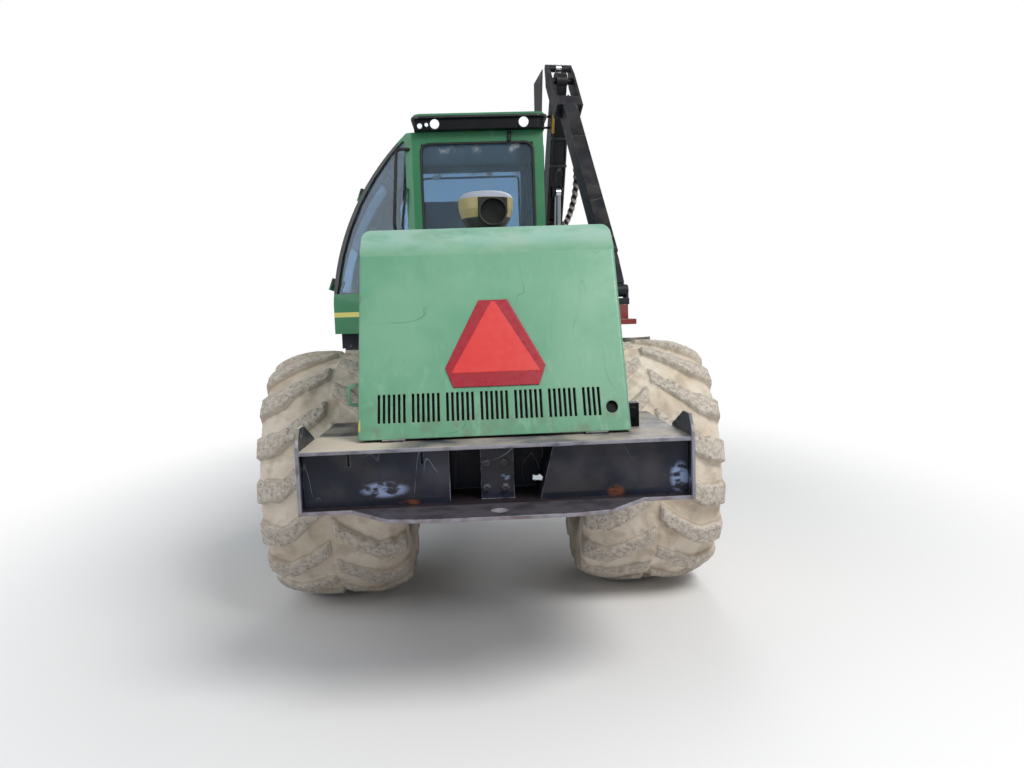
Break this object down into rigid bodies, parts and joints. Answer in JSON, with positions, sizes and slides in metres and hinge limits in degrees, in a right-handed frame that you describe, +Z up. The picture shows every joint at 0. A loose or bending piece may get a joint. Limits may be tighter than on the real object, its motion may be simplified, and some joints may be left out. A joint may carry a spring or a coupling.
{
  "type": "forestry harvester",
  "caption": "Four-wheeled forestry harvester hinged in its middle, with a rear engine hood, an offset cab and a folding crane that carries a felling and delimbing head",
  "frame": {"origin": "on the ground, at the middle of the whole machine's footprint", "axes": "+X to the machine's right, +Y forward along its length, +Z up"},
  "size_m": [2.5111, 6.48, 3.7777],
  "materials": {
    "cleaner": "clear yellowed bowl and pale dome",
    "frame_black": "worn black paint",
    "cab_plastic": "dark grey plastic",
    "cab_green": "glossy green paint",
    "glass": "tinted glazing",
    "crane_black": "black paint, worn to steel at edges",
    "roof_black": "black moulded plastic",
    "engine": "oily casting",
    "knife_steel": "bare worn steel",
    "head_red": "dark red paint, worn",
    "hood_green": "faded green paint, scratched",
    "hose": "hydraulic hose",
    "rod_chrome": "ground and plated",
    "housing_green": "green paint",
    "rim": "painted steel, muddy",
    "lamp": "clear lamp lens",
    "seat_fabric": "black upholstery",
    "sign_red": "reflective red sheet",
    "tyre": "worn rubber under dried sandy mud"
  },
  "bodies": {
    "rear_frame": {"rear_chassis": "frame_black", "rear_bumper": "frame_black", "bumper_boxes": "frame_black", "tank_left": "frame_black", "tank_right": "frame_black", "engine_bay": "frame_black", "engine_block": "engine", "radiator_housing": "housing_green", "air_precleaner": "cleaner", "rear_axle": "frame_black", "deck_lamp": "roof_black"},
    "hood": {"hood": "hood_green", "slow_vehicle_sign": "sign_red", "hood_handle": "hood_green"},
    "yoke": {"joint_yoke": "frame_black"},
    "front_frame": {"front_chassis": "frame_black", "front_axle": "frame_black", "cab_platform": "frame_black", "cab_frame": "cab_green", "cab_glass": "glass", "roof_tray": "roof_black", "roof_cap": "cab_green", "roof_lamps": "lamp", "seat_base": "cab_plastic", "seat_cushion": "seat_fabric", "seat_back": "seat_fabric", "seat_shell": "cab_plastic", "cab_console": "cab_plastic", "crane_base": "frame_black"},
    "door": {"cab_door": "cab_green", "door_glass": "glass"},
    "pillar": {"crane_pillar": "crane_black"},
    "boom": {"main_boom": "crane_black", "jib_ram_barrel": "crane_black", "hoses": "hose", "knuckle_guard": "crane_black"},
    "lift_barrel": {"lift_barrel": "crane_black"},
    "lift_rod": {"lift_rod": "rod_chrome"},
    "jib": {"jib": "crane_black", "hose_bundle": "hose"},
    "jib_ram_rod": {"jib_ram_rod": "rod_chrome"},
    "extension": {"jib_extension": "crane_black"},
    "tip_link": {"tip_link": "crane_black"},
    "head": {"head_frame": "head_red"},
    "wheel_rear_left": {"tyre_rear_left": "tyre", "rim_rear_left": "rim"},
    "wheel_rear_right": {"tyre_rear_right": "tyre", "rim_rear_right": "rim"},
    "wheel_front_left": {"tyre_front_left": "tyre", "rim_front_left": "rim"},
    "wheel_front_right": {"tyre_front_right": "tyre", "rim_front_right": "rim"},
    "steering_barrel_left": {"steering_barrel_left": "frame_black"},
    "steering_rod_left": {"steering_rod_left": "rod_chrome"},
    "knife_left": {"knife_left": "knife_steel"},
    "feed_arm_left": {"feed_arm_left": "knife_steel"},
    "steering_barrel_right": {"steering_barrel_right": "frame_black"},
    "steering_rod_right": {"steering_rod_right": "rod_chrome"},
    "knife_right": {"knife_right": "knife_steel"},
    "feed_arm_right": {"feed_arm_right": "knife_steel"}
  },
  "joints": [
    {"name": "roll_rear_left", "type": "hinge", "parent": "rear_frame", "child": "wheel_rear_left", "pos_m": [-0.81645, -1.56, 0.67029], "axis": [1, 0, 0], "continuous": true},
    {"name": "roll_rear_right", "type": "hinge", "parent": "rear_frame", "child": "wheel_rear_right", "pos_m": [0.78355, -1.56, 0.67029], "axis": [1, 0, 0], "continuous": true},
    {"name": "roll_front_left", "type": "hinge", "parent": "front_frame", "child": "wheel_front_left", "pos_m": [-0.81645, 1.94, 0.67029], "axis": [1, 0, 0], "continuous": true},
    {"name": "roll_front_right", "type": "hinge", "parent": "front_frame", "child": "wheel_front_right", "pos_m": [0.78355, 1.94, 0.67029], "axis": [1, 0, 0], "continuous": true},
    {"name": "steer", "type": "hinge", "parent": "rear_frame", "child": "yoke", "pos_m": [-0.01645, -0.01, 0.79529], "axis": [0, 0, -1], "range_deg": [-35, 35]},
    {"name": "oscillate", "type": "hinge", "parent": "yoke", "child": "front_frame", "pos_m": [-0.01645, 0.29, 0.79529], "axis": [0, 1, 0], "range_deg": [-15, 15]},
    {"name": "hood_tilt", "type": "hinge", "parent": "rear_frame", "child": "hood", "pos_m": [-0.01645, -2.9, 1.04529], "axis": [1, 0, 0], "range_deg": [0, 55]},
    {"name": "door_swing", "type": "hinge", "parent": "front_frame", "child": "door", "pos_m": [-1.09343, 0.59, 2.12858], "axis": [0.3504, 0, 0.9366], "range_deg": [0, 75]},
    {"name": "steering_barrel_turn_left", "type": "hinge", "parent": "rear_frame", "child": "steering_barrel_left", "pos_m": [-0.28145, -0.548, 0.86029], "axis": [0, 0, -1], "range_deg": [-1.82, 1.82]},
    {"name": "steering_rod_slide_left", "type": "slide", "parent": "steering_barrel_left", "child": "steering_rod_left", "axis": [0.0594, 0.9982, 0], "range_m": [-0.1378, 0.1378]},
    {"name": "steering_barrel_turn_right", "type": "hinge", "parent": "rear_frame", "child": "steering_barrel_right", "pos_m": [0.24855, -0.548, 0.86029], "axis": [0, 0, -1], "range_deg": [-1.82, 1.82]},
    {"name": "steering_rod_slide_right", "type": "slide", "parent": "steering_barrel_right", "child": "steering_rod_right", "axis": [-0.0594, 0.9982, 0], "range_m": [-0.1378, 0.1378]},
    {"name": "slew", "type": "hinge", "parent": "front_frame", "child": "pillar", "pos_m": [0.70355, 2.14, 1.49529], "axis": [0, 0, 1], "range_deg": [0, 200]},
    {"name": "boom_lift", "type": "hinge", "parent": "pillar", "child": "boom", "pos_m": [0.70355, 2.14, 2.05529], "axis": [0.9877, 0.1564, 0], "range_deg": [-3, 40]},
    {"name": "lift_barrel_turn", "type": "hinge", "parent": "pillar", "child": "lift_barrel", "pos_m": [0.74031, 1.90789, 1.68529], "axis": [0.9877, 0.1564, 0], "range_deg": [-2.56, 27.92]},
    {"name": "lift_rod_slide", "type": "slide", "parent": "lift_barrel", "child": "lift_rod", "axis": [0.0215, -0.1357, 0.9905], "range_m": [-0.2394, 0.0198]},
    {"name": "jib_fold", "type": "hinge", "parent": "boom", "child": "jib", "pos_m": [0.79115, 1.58689, 3.60529], "axis": [-0.9877, -0.1564, 0], "range_deg": [0, 88]},
    {"name": "jib_ram_slide", "type": "slide", "parent": "boom", "child": "jib_ram_rod", "axis": [0.0596, -0.3764, 0.9245], "range_m": [-0.2127, 0.002]},
    {"name": "jib_extend", "type": "slide", "parent": "jib", "child": "extension", "axis": [0.0939, -0.5926, -0.8], "range_m": [0, 1.1]},
    {"name": "link_swing", "type": "hinge", "parent": "extension", "child": "tip_link", "pos_m": [1.02111, 0.13499, 1.64529], "axis": [0.9877, 0.1564, 0], "range_deg": [-25, 50]},
    {"name": "rotator_turn", "type": "hinge", "parent": "tip_link", "child": "head", "pos_m": [1.02111, 0.13499, 1.42529], "axis": [0, 0, 1], "continuous": true},
    {"name": "knife_open_left", "type": "hinge", "parent": "head", "child": "knife_left", "pos_m": [0.97111, 0.05299, 1.20529], "axis": [0, 0, -1], "range_deg": [0, 50]},
    {"name": "feed_arm_open_left", "type": "hinge", "parent": "head", "child": "feed_arm_left", "pos_m": [0.97111, 0.05299, 0.87529], "axis": [0, 0, -1], "range_deg": [0, 30]},
    {"name": "knife_open_right", "type": "hinge", "parent": "head", "child": "knife_right", "pos_m": [0.97111, 0.21699, 1.20529], "axis": [0, 0, 1], "range_deg": [0, 50]},
    {"name": "feed_arm_open_right", "type": "hinge", "parent": "head", "child": "feed_arm_right", "pos_m": [0.97111, 0.21699, 0.87529], "axis": [0, 0, 1], "range_deg": [0, 30]}
  ],
  "couplings": [
    {"joint": "steering_barrel_turn_left", "follows": "steer", "ratio": 0.037671},
    {"joint": "steering_rod_slide_left", "follows": "steer", "m_per_rad": 0.22228},
    {"joint": "steering_barrel_turn_right", "follows": "steer", "ratio": 0.037671},
    {"joint": "steering_rod_slide_right", "follows": "steer", "m_per_rad": -0.22228},
    {"joint": "lift_barrel_turn", "follows": "boom_lift", "ratio": 0.68552},
    {"joint": "lift_rod_slide", "follows": "boom_lift", "m_per_rad": -0.34005},
    {"joint": "jib_ram_slide", "follows": "jib_fold", "m_per_rad": -0.1372},
    {"joint": "knife_open_right", "follows": "knife_open_left", "ratio": 1},
    {"joint": "feed_arm_open_right", "follows": "feed_arm_open_left", "ratio": 1}
  ]
}
